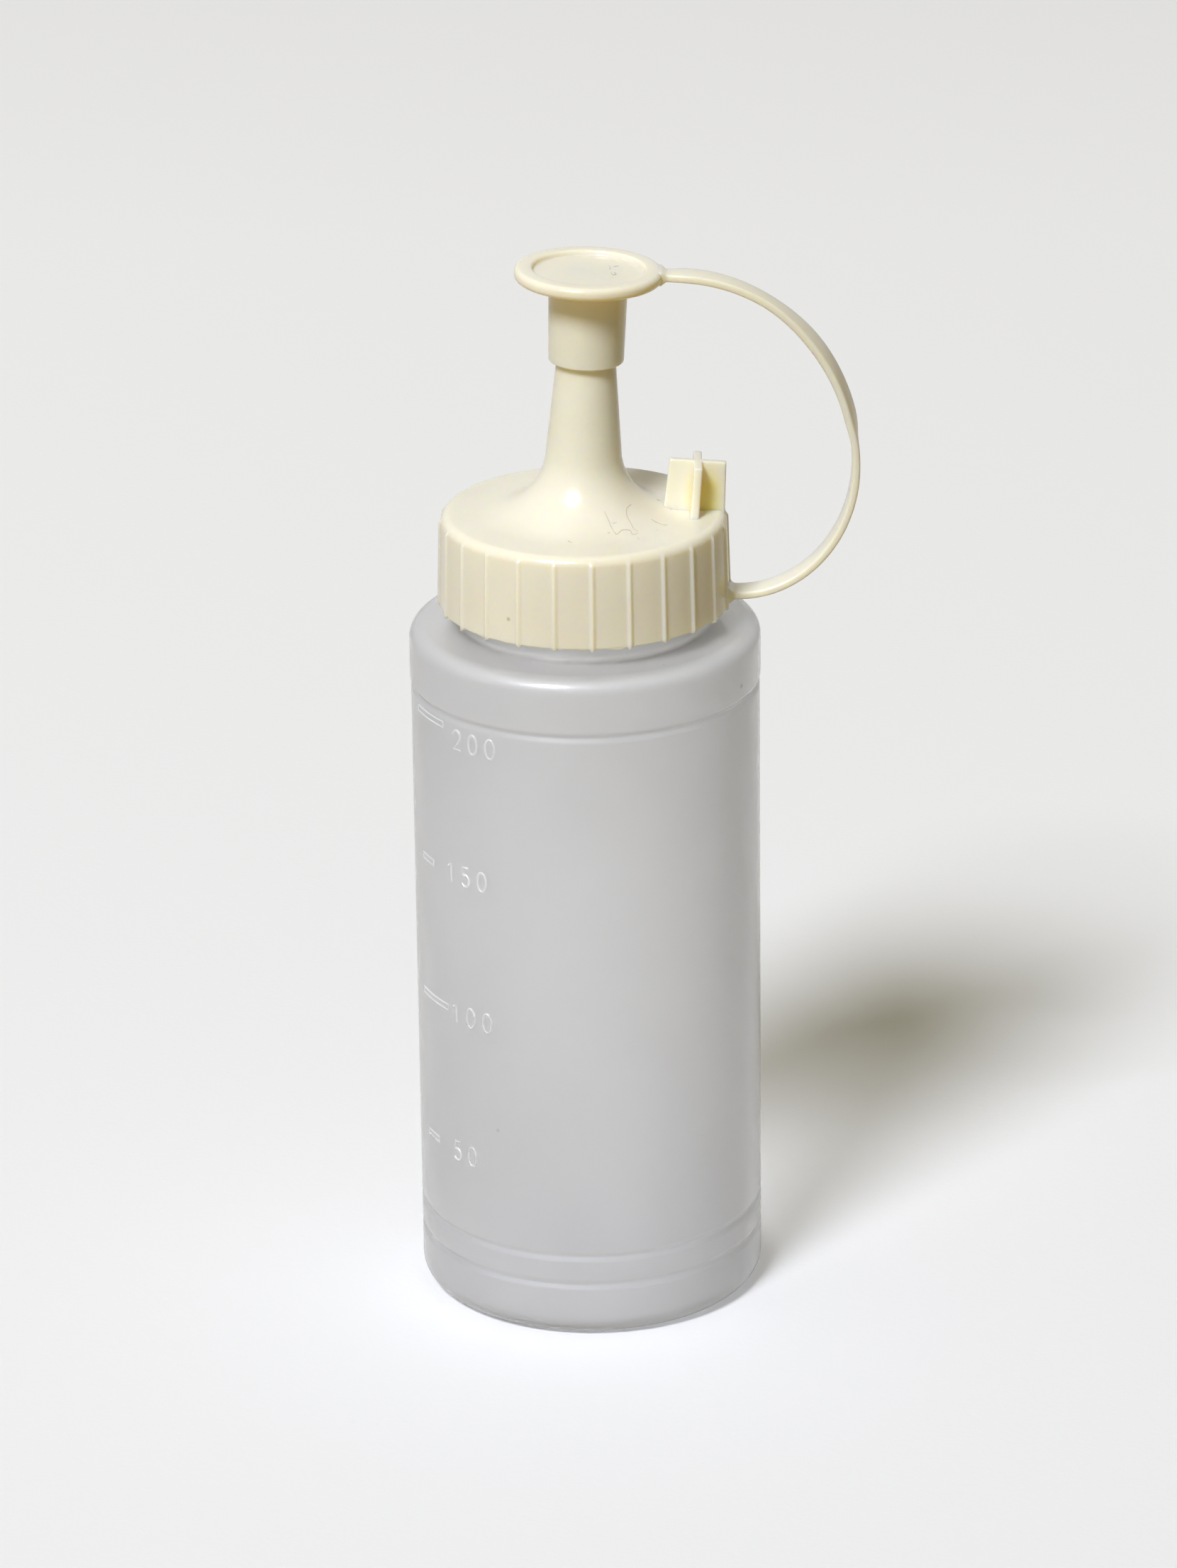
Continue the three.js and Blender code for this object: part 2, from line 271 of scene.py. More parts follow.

# Painted shade and light: the bottle is painted darker and cooler towards its base, and paler and
# warmer on the flat of its shoulder, where light passes through the skirt
basePaintedShade = {"colour": (0.7, 0.71, 0.735), "share": 0.2, "heights": ((45, 5),)}
shoulderPaintedLight = {
    "colour": (1, 0.98, 0.94),
    "share": 0.8,
    "heights": ((109.6, 110), (111.4, 110.4)),
    "line": (0, 0),
    "distances": (26, 21),
}
frosted = {
    "effect": {"Cloud Scale": 28, "Grain Scale": 3000, "Speck Scale": 420, "Speck Share": 0.006},
    "dark": (0.79, 0.788, 0.782),
    "light": (0.825, 0.823, 0.817),
    "speck": (0.5, 0.48, 0.45),
    "roughness": (0.42, 0.52),
    "bump": 0.2,
    "bumpDepth": 0.03,
    "shadowAlpha": 0.28,         # of each wall face, so that light reaches the floor behind
    "shadowFoot": 7,             # below this height the base lets ever less light through
    "paintedLights": (basePaintedShade, shoulderPaintedLight),
    "shader": {
        "IOR": 1.45,
        "Transmission Weight": 0.82,
        "Subsurface Weight": 0.6,
        "Subsurface Radius": (1, 1, 1),
        "Subsurface Scale": 0.0012,
        "Coat Weight": 0.7,
        "Coat Roughness": 0.08,
    },
}
frostedPlastic = makePlastic("frostedPlastic", frosted)

# The raised numbers come smooth out of the mould, and are coloured paler than the wall
raisedFrosted = {
    **frosted,
    "dark": (0.89, 0.89, 0.89),
    "light": (0.93, 0.93, 0.93),
    "roughness": (0.25, 0.35),
    "shader": {**frosted["shader"], "Coat Roughness": 0.1, "Transmission Weight": 0.6},
}
raisedPlastic = makePlastic("raisedPlastic", raisedFrosted)


dust = {
    "dark": (0.36, 0.32, 0.25),
    "light": (0.58, 0.54, 0.46),
    "noiseScale": 900,
    "noiseDetail": 2,
    "noiseSpan": (0.3, 0.7),
    "roughness": 0.7,
}


def makeDust(values):
    material = bpy.data.materials.new("dustFibre")
    material.use_nodes = True
    tree = material.node_tree
    noise = addNoise(tree, addPlace(tree), values["noiseScale"], values["noiseDetail"])
    tone = addRange(tree, noise, *values["noiseSpan"], 0, 1)
    colour = addMix(tree, tone, (*values["dark"], 1), (*values["light"], 1))
    shader = tree.nodes["Principled BSDF"]
    tree.links.new(colour, shader.inputs["Base Color"])
    shader.inputs["Roughness"].default_value = values["roughness"]
    return material


dustFibre = makeDust(dust)
print("materials made")


# Points of an outline from its corners, each (x, y) or (x, y, round). A round is cut into arcs
# of about arcStep degrees, or into arcCount arcs where the loops have to match.
def roundedOutline(corners, arcStep=9, arcCount=0):
    points = []
    for index, corner in enumerate(corners):
        here = Vector(corner[:2])
        size = corner[2] if len(corner) > 2 else 0
        if not size:
            points.append(here)
            continue
        toBefore = (Vector(corners[index - 1][:2]) - here).normalized()
        toAfter = (Vector(corners[(index + 1) % len(corners)][:2]) - here).normalized()
        half = toBefore.angle(toAfter) / 2
        centre = here + (toBefore + toAfter).normalized() * (size / math.sin(half))
        start = here + toBefore * (size / math.tan(half))
        sweep = math.copysign(math.pi - 2 * half, toAfter.cross(toBefore))
        steps = arcCount or max(2, round(math.degrees(abs(sweep)) / arcStep))
        for step in range(steps + 1):
            points.append(centre + Matrix.Rotation(sweep * step / steps, 2) @ (start - centre))
    return points


nearby = 1e-5                    # points closer than this are one


# Turns an outline of radius and height all the way round the Z axis
def turnOutline(form, points, steps, closed=False):
    verts = [form.verts.new((point.x, 0, point.y)) for point in points]
    edges = [form.edges.new(pair) for pair in zip(verts, verts[1:])]
    if closed:
        edges.append(form.edges.new((verts[-1], verts[0])))
    bmesh.ops.spin(
        form, geom=verts + edges, cent=(0, 0, 0), axis=(0, 0, 1), dvec=(0, 0, 0),
        angle=2 * math.pi, steps=steps, use_merge=True, use_duplicate=False)
    bmesh.ops.remove_doubles(form, verts=form.verts, dist=nearby)


# Bridges a row of closed loops of points, and either joins its ends or fills them
def skinLoops(form, loops, joined=False):
    rings = []
    for loop in loops:
        verts = [form.verts.new(point) for point in loop]
        pairs = zip([verts[-1], *verts], verts)
        rings.append([form.edges.new(pair) for pair in pairs])
    for ring, nextRing in zip(rings, rings[1:]):
        bmesh.ops.bridge_loops(form, edges=ring + nextRing)
    if joined:
        bmesh.ops.bridge_loops(form, edges=rings[-1] + rings[0])
    else:
        bmesh.ops.contextual_create(form, geom=rings[0])
        bmesh.ops.contextual_create(form, geom=rings[-1])


# Makes the finished object: millimetres to metres, normals outwards, smooth but for sharp edges
def finishPiece(name, form, material, body, sharpAngle=32):
    bmesh.ops.scale(form, vec=(mm, mm, mm), verts=form.verts)
    bmesh.ops.recalc_face_normals(form, faces=form.faces)
    for face in form.faces:
        face.smooth = True
    for edge in form.edges:
        edge.smooth = edge.calc_face_angle(0) < math.radians(sharpAngle)
    mesh = bpy.data.meshes.new(name)
    form.to_mesh(mesh)
    form.free()
    mesh.materials.append(material)
    piece = bpy.data.objects.new(name, mesh)
    scene.collection.objects.link(piece)
    if body:
        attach(piece, body)
    return piece


def smoothStep(value):
    value = min(max(value, 0), 1)
    return value * value * (3 - 2 * value)


# Bottle: one blown wall, open at the neck
bottle = {
    "radius": 27,
    "wall": 1.1,
    "shoulder": 110.2,
    "shoulderRound": 2.5,
    "shoulderRadius": 27.15,     # above the top groove
    "swellReach": 0.5,           # how far the inside's step to that radius runs up and down
    "swellRound": 0.3,
    "baseRound": 3.4,
    "ringInner": 20.6,           # inner radius of the ring that the bottle stands on
    "ringRound": 0.6,            # where the raised middle's slope meets that ring
    "raisedRadius": 18.6,
    "raisedRound": 1,
    "raised": 0.8,
    "lowGrooves": (9.1, 13.9),
    "topGroove": 100.8,
    "grooveDepth": 0.45,
    "grooveWidth": 1.6,
    "grooveRound": 0.45,
    "grooveLip": 0.9,            # round of a groove's two outer edges
    "neck": 19.05,
    "neckWall": 1.4,
    "neckRootRound": 0.9,
    "mouth": 126.1,
    "lipRound": 0.45,
    "arcStep": 7,
    "steps": 192,
    "sharpAngle": 40,            # between faces, from which an edge is drawn sharp
}


def makeBottle(values):
    outer = values["radius"]
    inner = outer - values["wall"]
    shoulderOuter = values["shoulderRadius"]
    shoulderInner = shoulderOuter - values["wall"]
    neckInner = values["neck"] - values["neckWall"]
    under = values["shoulder"] - values["wall"]
    corners = [
        (0, values["raised"]),
        (values["raisedRadius"], values["raised"], values["raisedRound"]),
        (values["ringInner"], 0, values["ringRound"]),
        (outer, 0, values["baseRound"]),
    ]
    halfGroove = values["grooveWidth"] / 2
    for height in (*values["lowGrooves"], values["topGroove"]):
        above = shoulderOuter if height == values["topGroove"] else outer
        corners += [
            (outer, height - halfGroove, values["grooveLip"]),
            (outer - values["grooveDepth"], height, values["grooveRound"]),
            (above, height + halfGroove, values["grooveLip"]),
        ]
    corners += [
        (shoulderOuter, values["shoulder"], values["shoulderRound"]),
        (values["neck"], values["shoulder"], values["neckRootRound"]),
        (values["neck"], values["mouth"], values["lipRound"]),
        (neckInner, values["mouth"], values["lipRound"]),
        (neckInner, under, values["neckRootRound"]),
        (shoulderInner, under, values["shoulderRound"] - values["wall"]),
        (shoulderInner, values["topGroove"] + values["swellReach"], values["swellRound"]),
        (inner, values["topGroove"] - values["swellReach"], values["swellRound"]),
        (inner, values["wall"], values["baseRound"] - values["wall"]),
        (values["ringInner"], values["wall"], values["ringRound"]),
        (values["raisedRadius"], values["raised"] + values["wall"], values["raisedRound"]),
        (0, values["raised"] + values["wall"]),
    ]
    form = bmesh.new()
    turnOutline(form, roundedOutline(corners, values["arcStep"]), values["steps"])
    piece = finishPiece(
        "bottle_wall", form, frostedPlastic, "bottle", values["sharpAngle"])
    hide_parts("bottle")


makeBottle(bottle)


# Thread: a right-handed ridge round the neck that fades at both ends
thread = {
    "neck": 19.05,
    "sunk": 0.1,
    "depth": 0.9,
    "foot": 2,
    "crest": 0.8,
    "crestRound": 0.2,
    "crestArcs": 3,
    "pitch": 4,
    "turns": 1.5,
    "top": 122.9,                # middle of the ridge at its upper end
    "stepsPerTurn": 96,
    "fade": 0.06,                # in turns
}


def makeThread(values):
    loops = []
    count = round(values["stepsPerTurn"] * values["turns"])
    for step in range(count + 1):
        turn = step / values["stepsPerTurn"]
        rise = smoothStep(min(turn, values["turns"] - turn) / values["fade"])
        crest = values["neck"] - values["sunk"] / 2 + values["depth"] * rise
        foot = values["neck"] - values["sunk"]
        height = values["top"] - values["pitch"] * (values["turns"] - turn)
        section = roundedOutline([
            (foot, height - values["foot"] / 2),
            (crest, height - values["crest"] / 2, values["crestRound"]),
            (crest, height + values["crest"] / 2, values["crestRound"]),
            (foot, height + values["foot"] / 2),
        ], arcCount=values["crestArcs"])
        spin = Matrix.Rotation(2 * math.pi * turn, 3, "Z")
        loops.append([spin @ Vector((point.x, 0, point.y)) for point in section])
    form = bmesh.new()
    skinLoops(form, loops)
    finishPiece("neck_thread", form, frostedPlastic, "bottle")


makeThread(thread)


# Graduations: raised numbers and ticks on the body's left, along its girth
graduations = {
    "radius": 27,
    "raised": 0.16,
    "sunk": 0.04,
    "height": 3.6,
    "digitWidth": 2.45,
    "stroke": 0.45,
    "pitch": 7,                  # from digit to digit
    # A ridge across its stroke: share of its width to the side, share of its height
    "profile": ((-0.5, 0), (-0.36, 0.72), (-0.16, 1), (0.16, 1), (0.36, 0.72), (0.5, 0)),
    # The digits, the height of their foot and the azimuth of the first digit's middle, then the
    # height and the two ends of the tick. Azimuths run from -Y towards +X.
    "rows": (
        ("200", 95.7, -47, 99.1, -72, -54),
        ("150", 73.4, -51.2, 75.0, -70, -61.5),
        ("100", 49.9, -50, 51.9, -72, -54),
        ("50", 26.2, -50.5, 28.0, -70, -61.5),
    ),
    "tickHeight": 0.9,           # of the outline that makes a tick
    "tickLine": 0.3,
    "tickSpacing": 0.8,
    "sharpAngle": 60,
}


# Strokes of each digit on a grid of width 1 and height 1, as rows of points
def digitStrokes(digit):
    def arc(centreX, centreY, radiusX, radiusY, start, end, count):
        angles = [math.radians(start + (end - start) * step / count) for step in range(count + 1)]
        return [
            (centreX + radiusX * math.cos(angle), centreY + radiusY * math.sin(angle))
            for angle in angles
        ]
    shapes = {
        "0": [arc(0.5, 0.5, 0.42, 0.5, 90, 450, 28)],
        "1": [[(0.22, 0.78), (0.36, 0.86), (0.52, 1), (0.52, 0)]],
        "2": [arc(0.5, 0.72, 0.38, 0.28, 165, -30, 12) + [(0.55, 0.3), (0.08, 0), (0.92, 0)]],
        "5": [[(0.86, 1), (0.24, 1), (0.18, 0.54)] + arc(0.46, 0.31, 0.42, 0.31, 125, -150, 16)],
    }
    return shapes[digit]


# Bends a flat plate, x along the girth and y up, onto the body
def ontoBody(values, angle, x, y, proud):
    around = math.radians(angle) + x / values["radius"]
    reach = values["radius"] + proud
    return Vector((reach * math.sin(around), -reach * math.cos(around), y))


# A rounded ridge along a row of points, which sinks into the wall on both sides
def addRidge(form, values, angle, points, base, stroke, closed=False):
    count = len(points)
    loops = []
    for index, point in enumerate(points):
        before = points[index - 1] if closed or index else point
        after = points[(index + 1) % count] if closed or index < count - 1 else point
        along = Vector((after[0] - before[0], after[1] - before[1])).normalized()
        across = Vector((-along.y, along.x))
        loop = []
        for side, rise in values["profile"]:
            x = point[0] + across.x * side * stroke
            y = base + point[1] + across.y * side * stroke
            proud = -values["sunk"] + (values["raised"] + values["sunk"]) * rise
            loop.append(ontoBody(values, angle, x, y, proud))
        loops.append(loop)
    skinLoops(form, loops, closed)


# Points along a closed outline, spaced so that it follows the body's girth
def walkOutline(corners, spacing):
    points = []
    for start, end in zip(corners, corners[1:] + corners[:1]):
        start, end = Vector(start), Vector(end)
        steps = max(1, math.ceil((end - start).length / spacing))
        points += [tuple(start.lerp(end, step / steps)) for step in range(steps)]
    return points


def makeGraduations(values):
    stroke = values["stroke"]
    width = values["digitWidth"] - stroke
    height = values["height"] - stroke
    form = bmesh.new()
    for text, base, firstDigit, tick, tickStart, tickEnd in values["rows"]:
        for place, digit in enumerate(text):
            angle = firstDigit + values["pitch"] * place
            for line in digitStrokes(digit):
                points = [((x - 0.5) * width, y * height) for x, y in line]
                closed = digit == "0"
                if closed:
                    points = points[:-1]
                addRidge(form, values, angle, points, base + stroke / 2, stroke, closed)
        middle = (tickStart + tickEnd) / 2
        half = math.radians(tickEnd - tickStart) / 2 * values["radius"]
        reach = values["tickHeight"] / 2
        corners = [(-half, -reach), (half, -reach), (half, reach), (-half, reach)]
        ring = walkOutline(corners, values["tickSpacing"])
        addRidge(form, values, middle, ring, tick, values["tickLine"], True)
    finishPiece("graduations", form, raisedPlastic, "bottle", values["sharpAngle"])


makeGraduations(graduations)
print("bottle made")


# The nozzle's axis bends along the flare and runs straight above it
lean = {
    "angle": 2.1,
    "start": 127.9,
    "length": 10.4,
}


def leanPoint(values, x, height):
    whole = math.radians(values["angle"])
    bend = min(max(height - values["start"], 0), values["length"])
    angle = whole * bend / values["length"]
    sine, cosine = math.sin(angle), math.cos(angle)
    reach = values["length"] / whole
    straight = height - values["start"] - bend
    return (
        reach * (1 - cosine) + straight * sine + x * cosine,
        values["start"] + reach * sine + straight * cosine - x * sine,
    )


def leanForm(form, values):
    for vert in form.verts:
        vert.co.x, vert.co.z = leanPoint(values, vert.co.x, vert.co.z)


# Screw cap: ribbed skirt, top, hollow flared nozzle
screwCap = {
    "bottom": 113.4,
    "top": 127.9,
    "bottomRadius": 22.35,
    "topRadius": 21.95,
    "innerRadius": 20.35,
    "underside": 126.4,
    "edgeRound": 0.3,            # of the skirt's lower edge, outside
    "innerEdgeRound": 0.15,
    "topRound": 1.5,
    "innerRound": 0.8,
    "flareRound": 10.4,
    "flareUnder": 10.1,
    "nozzleFootRadius": 5.75,
    "nozzleFoot": 138.3,
    "nozzleTipRadius": 3.45,
    "nozzleTip": 164.6,
    "nozzleWall": 1.2,
    "tipRound": 0.5,
    "holeRadius": 1.6,
    "holeRound": 0.15,
    "holeDepth": 1.2,
    "ribs": 24,
    "ribPhase": 3,
    "ribProud": 0.32,
    "ribWidth": 1.25,
    "ribOverhang": 0.25,
    "ribTop": 127.35,
    "ribFade": 1.1,
    "ribDepth": 0.4,             # nothing closer than this to the inner radius is a rib
    "burr": 0.35,                # longest burr along the skirt's lower edge
    "burrPower": 6,              # the higher, the fewer long ones
    "burrSeed": 11,
    # Where the 16 sides of one rib's share of the girth lie, in degrees from the rib's middle
    "sides": (
        -1.8, -1.4, -1.0, -0.67, -0.33, 0, 0.33, 0.67,
        1.0, 1.4, 1.8, 3.6, 5.6, 7.5, 9.4, 11.4,
    ),
}


# Gathers the sides of the skirt at the ribs, raises the ribs there and adds the burr below
def addRibs(form, values):
    sides = values["sides"]
    chance = random.Random(values["burrSeed"])
    count = values["ribs"] * len(sides)
    burrs = [values["burr"] * chance.random() ** values["burrPower"] for side in range(count)]
    share = 360 / values["ribs"]
    for vert in form.verts:
        radius = math.hypot(vert.co.x, vert.co.y)
        azimuth = math.degrees(math.atan2(vert.co.y, vert.co.x)) % 360
        index = round(azimuth / share * len(sides))
        side = sides[index % len(sides)]
        across = math.radians(side) * values["bottomRadius"] / (values["ribWidth"] / 2)
        rise = (1 + math.cos(math.pi * across)) / 2 if abs(across) < 1 else 0
        height = vert.co.z
        proud = 0
        if radius > values["innerRadius"] + values["ribDepth"] and height < values["ribTop"]:
            fade = smoothStep((values["ribTop"] - height) / values["ribFade"])
            proud = values["ribProud"] * rise * fade
            if height < values["bottom"] + values["edgeRound"] / 2:
                vert.co.z -= values["ribOverhang"] * rise + burrs[index % len(burrs)]
        turn = math.radians(values["ribPhase"] + share * (index // len(sides)) + side)
        vert.co.x = (radius + proud) * math.cos(turn)
        vert.co.y = (radius + proud) * math.sin(turn)


def makeScrewCap(values):
    footInner = values["nozzleFootRadius"] - values["nozzleWall"]
    tipInner = values["nozzleTipRadius"] - values["nozzleWall"]
    holeTop = values["nozzleTip"] - values["holeDepth"]
    corners = [
        (values["innerRadius"], values["bottom"], values["innerEdgeRound"]),
        (values["bottomRadius"], values["bottom"], values["edgeRound"]),
        (values["topRadius"], values["top"], values["topRound"]),
        (values["nozzleFootRadius"], values["top"], values["flareRound"]),
        (values["nozzleFootRadius"], values["nozzleFoot"]),
        (values["nozzleTipRadius"], values["nozzleTip"], values["tipRound"]),
        (values["holeRadius"], values["nozzleTip"], values["holeRound"]),
        (values["holeRadius"], holeTop),
        (tipInner, holeTop - values["nozzleWall"]),
        (footInner, values["nozzleFoot"]),
        (footInner, values["underside"], values["flareUnder"]),
        (values["innerRadius"], values["underside"], values["innerRound"]),
    ]
    form = bmesh.new()
    steps = values["ribs"] * len(values["sides"])
    turnOutline(form, roundedOutline(corners), steps, closed=True)
    addRibs(form, values)
    leanForm(form, lean)
    piece = finishPiece("cap_and_nozzle", form, capPlastic, "screw_cap")
    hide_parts("screw_cap")


makeScrewCap(screwCap)


# Peg on which the tip cap is parked: two drafted fins that cross and lean outwards
peg = {
    "axis": 17,
    "top": 127.9,
    "height": 8,
    "sunk": 1,                   # into the cap's top
    "width": 9.4,
    "draft": 0.35,
    "thickness": 1.3,
    "lean": 4.5,
    "edgeRound": 0.25,
    "edgeSteps": 4,
    "cornerRound": 0.3,
    "innerRound": 0.35,
    "leastRound": 0.05,
    "cornerArcs": 4,
    "foot": 0.12,                # how much it widens where it meets the cap
    "footRise": 0.5,
    "sharpAngle": 40,
}


def makePeg(values):
    height = values["height"]
    edge = values["edgeRound"]
    levels = [(-values["sunk"], values["foot"]), (0, values["foot"]), (values["footRise"], 0)]
    levels.append((height - edge, 0))
    for step in range(1, values["edgeSteps"] + 1):
        angle = math.pi / 2 * step / values["edgeSteps"]
        levels.append((height - edge + edge * math.sin(angle), -edge * (1 - math.cos(angle))))
    tilt = Matrix.Rotation(math.radians(values["lean"]), 4, "Y")
    tilt = Matrix.Translation((values["axis"], 0, values["top"])) @ tilt
    loops = []
    for rise, grow in levels:
        reach = values["width"] / 2 - values["draft"] * max(rise, 0) / height + grow
        half = values["thickness"] / 2 + grow
        corner = max(values["cornerRound"] + grow, values["leastRound"])
        fin = [(reach, -half, corner), (reach, half, corner), (half, half, values["innerRound"])]
        corners = []
        for quarter in range(4):
            spin = Matrix.Rotation(math.pi / 2 * quarter, 2)
            corners += [(*(spin @ Vector((x, y))), size) for x, y, size in fin]
        outline = roundedOutline(corners, arcCount=values["cornerArcs"])
        loops.append([tilt @ Vector((point.x, point.y, rise)) for point in outline])
    form = bmesh.new()
    skinLoops(form, loops)
    finishPiece("peg", form, pegPlastic, "screw_cap", values["sharpAngle"])


makePeg(peg)
print("screw cap made")


# Tip cap: disc with a shallow recess, and the sleeve that grips the nozzle
tipCap = {
    "ceiling": 164.9,
    "top": 166.9,
    "radius": 11.3,
    "discRound": 0.85,
    "recessRadius": 8.6,
    "recessDepth": 0.8,
    "recessRound": 0.4,
    "recessDraft": 0.15,         # how much narrower the recess is at its floor
    "recessFloorRound": 0.3,
    "sleeveBottom": 152.2,
    "sleeveTopRadius": 6.05,
    "sleeveBottomRadius": 5.75,
    "sleeveRound": 0.3,
    "sleeveRootRound": 0.35,
    "boreTop": 3.82,
    "boreBottom": 4.93,
    "boreRound": 0.15,
    "steps": 192,
}


def makeTipCap(values):
    recess = values["top"] - values["recessDepth"]
    corners = [
        (0, values["ceiling"]),
        (values["boreTop"], values["ceiling"], values["boreRound"]),
        (values["boreBottom"], values["sleeveBottom"], values["boreRound"]),
        (values["sleeveBottomRadius"], values["sleeveBottom"], values["sleeveRound"]),
        (values["sleeveTopRadius"], values["ceiling"], values["sleeveRootRound"]),
        (values["radius"], values["ceiling"], values["discRound"]),
        (values["radius"], values["top"], values["discRound"]),
        (values["recessRadius"], values["top"], values["recessRound"]),
        (values["recessRadius"] - values["recessDraft"], recess, values["recessFloorRound"]),
        (0, recess),
    ]
    form = bmesh.new()
    turnOutline(form, roundedOutline(corners), values["steps"])
    leanForm(form, lean)
    piece = finishPiece("tip_cap_disc", form, discPlastic, "tip_cap")
    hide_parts("tip_cap")


makeTipCap(tipCap)
print("tip cap made")


# Strap: a flat band in two quarter ellipses, from the skirt out and up to the disc
strap = {
    "width": 4.6,
    "headWidth": 3.6,
    "thickness": 1.2,
    "edgeRound": 0.35,
    "edgeArcs": 4,
    "reach": 41.78,
    "waist": 135,
    "rootHeight": 114.4,
    "rootSurface": 22.34,
    "rootEnd": 23.95,            # where the straight root ends and the curve begins
    "headHeight": 165.9,
    "headSurface": 11.3,
    "headEnd": 12.9,
    "endSteps": 6,               # of each straight end
    "curveSteps": 90,            # of each quarter ellipse
    "sunk": 0.7,
    "rootFillet": 1.1,
    "rootOuterFillet": 0.35,     # at most, on the side that hangs past the skirt's lower edge
    "rootLength": 5,             # nearer than this to the skirt the two sides differ
    "headFillet": 0.5,
    "narrowing": 5,              # length over which the band narrows to the head
    "twist": 11,                 # of the upper curve, its outer face towards the front
    "twistStart": (4, 10),       # climb of the outer face where it begins, and over how much
    "twistEnd": (60, 28),        # and where it has ended
    "blendInset": 1,             # from the band's middle to the points between which it is blended
    "sharpAngle": 40,
}


def strapPath(values):
    rootX = values["rootSurface"] - values["sunk"]
    endX, endZ = values["rootEnd"], values["rootHeight"]
    headX, headZ = leanPoint(lean, values["headEnd"], values["headHeight"])
    startX, startZ = leanPoint(lean, values["headSurface"] - values["sunk"], values["headHeight"])
    reach, waist = values["reach"], values["waist"]
    ends, curves = values["endSteps"], values["curveSteps"]
    quarter = [math.pi / 2 * step / curves for step in range(curves + 1)]
    points = [Vector((rootX + (endX - rootX) * step / ends, 0, endZ)) for step in range(ends)]
    for angle in reversed(quarter):
        x = endX + (reach - endX) * math.cos(angle)
        points.append(Vector((x, 0, waist - (waist - endZ) * math.sin(angle))))
    for angle in quarter[1:]:
        x = headX + (reach - headX) * math.cos(angle)
        points.append(Vector((x, 0, waist + (headZ - waist) * math.sin(angle))))
    head, start = Vector((headX, 0, headZ)), Vector((startX, 0, startZ))
    points += [head.lerp(start, step / ends) for step in range(1, ends + 1)]
    return points


# How much wider a fillet of this size makes the band at this distance from the wall it meets
def filletAt(distance, size):
    if distance >= size:
        return 0
    distance = max(distance, 0)
    return size - math.sqrt(size * size - (size - distance) ** 2)


def makeStrap(values):
    points = strapPath(values)
    lengths = [0]
    for before, after in zip(points, points[1:]):
        lengths.append(lengths[-1] + (after - before).length)
    total = lengths[-1]
    loops = []
    for index, point in enumerate(points):
        before = points[max(index - 1, 0)]
        after = points[min(index + 1, len(points) - 1)]
        along = (after - before).normalized()
        outward = Vector((along.z, 0, -along.x))
        fromRoot = lengths[index] - values["sunk"]
        fromHead = total - lengths[index] - values["sunk"]
        fillet = filletAt(fromRoot, values["rootFillet"]) + filletAt(fromHead, values["headFillet"])
        narrow = smoothStep(1 - fromHead / values["narrowing"])
        width = values["width"] + (values["headWidth"] - values["width"]) * narrow
        halfWidth = width / 2 + fillet
        inner = values["thickness"] / 2 + fillet
        outer = inner
        if fromRoot < values["rootLength"]:
            outer = values["thickness"] / 2 + min(fillet, values["rootOuterFillet"])
        size = values["edgeRound"]
        section = roundedOutline([
            (-halfWidth, -inner, size), (halfWidth, -inner, size),
            (halfWidth, outer, size), (-halfWidth, outer, size),
        ], arcCount=values["edgeArcs"])
        climb = math.degrees(math.atan2(outward.z, outward.x))
        low, lowSpan = values["twistStart"]
        high, highSpan = values["twistEnd"]
        twist = smoothStep((climb - low) / lowSpan) * smoothStep((high - climb) / highSpan)
        twist *= values["twist"]
        turned = [Matrix.Rotation(math.radians(twist), 2) @ side for side in section]
        loops.append([point + Vector((0, side.x, 0)) + outward * side.y for side in turned])
    form = bmesh.new()
    skinLoops(form, loops)
    piece = finishPiece("strap_band", form, creamPlastic, None, values["sharpAngle"])
    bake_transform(piece)
    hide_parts("strap")


makeStrap(strap)
print("strap made")


# Dust fibres that lie on the cap's top and on the disc
fibres = {
    "radius": 0.035,
    "sides": 6,
    "stepsBetween": 6,           # from each given point to the next, along a smooth curve
    "above": 0.02,
    "capTop": 127.9,
    "flareRadius": 16.15,        # where the nozzle's flare begins
    "flareRound": 10.4,
    "discHeight": 166.13,
    "onCap": (
        ((3.2, -8.5), (3.5, -9.0), (3.9, -9.9), (4.3, -11.0), (5.0, -12.2), (5.9, -11.0),
         (7.1, -10.9), (7.4, -11.9), (8.2, -11.4)),
        ((7.3, -5.4), (6.6, -6.6), (6.6, -7.8), (7.1, -8.9), (7.6, -10.1), (8.3, -10.8)),
        ((10.3, -6.6), (11.7, -7.4), (12.8, -7.5)),
        ((8.2, -12.6), (8.4, -13.0), (8.2, -13.5)),
        ((4.4, -10.0), (4.7, -9.9), (5.0, -9.7)),
        ((-2.4, -14.2), (-1.8, -14.8)),
        ((11.1, -9.7), (11.3, -10.0)),
    ),
    "onDisc": (
        ((3.1, 3.5), (3.3, 2.6), (3.2, 1.8)),
        ((3.4, 0.3), (3.7, -1.1), (4.2, -0.6), (3.9, 0.2)),
        ((3.9, 3.1), (4.2, 3.4), (4.6, 3.4)),
    ),
}


# Point of a Catmull-Rom curve at this share of the way from the second point to the third
def curvePoint(before, start, end, after, share):
    constant = 2 * start
    linear = end - before
    square = 2 * before - 5 * start + 4 * end - after
    cube = 3 * start - before - 3 * end + after
    return 0.5 * (constant + linear * share + square * share ** 2 + cube * share ** 3)


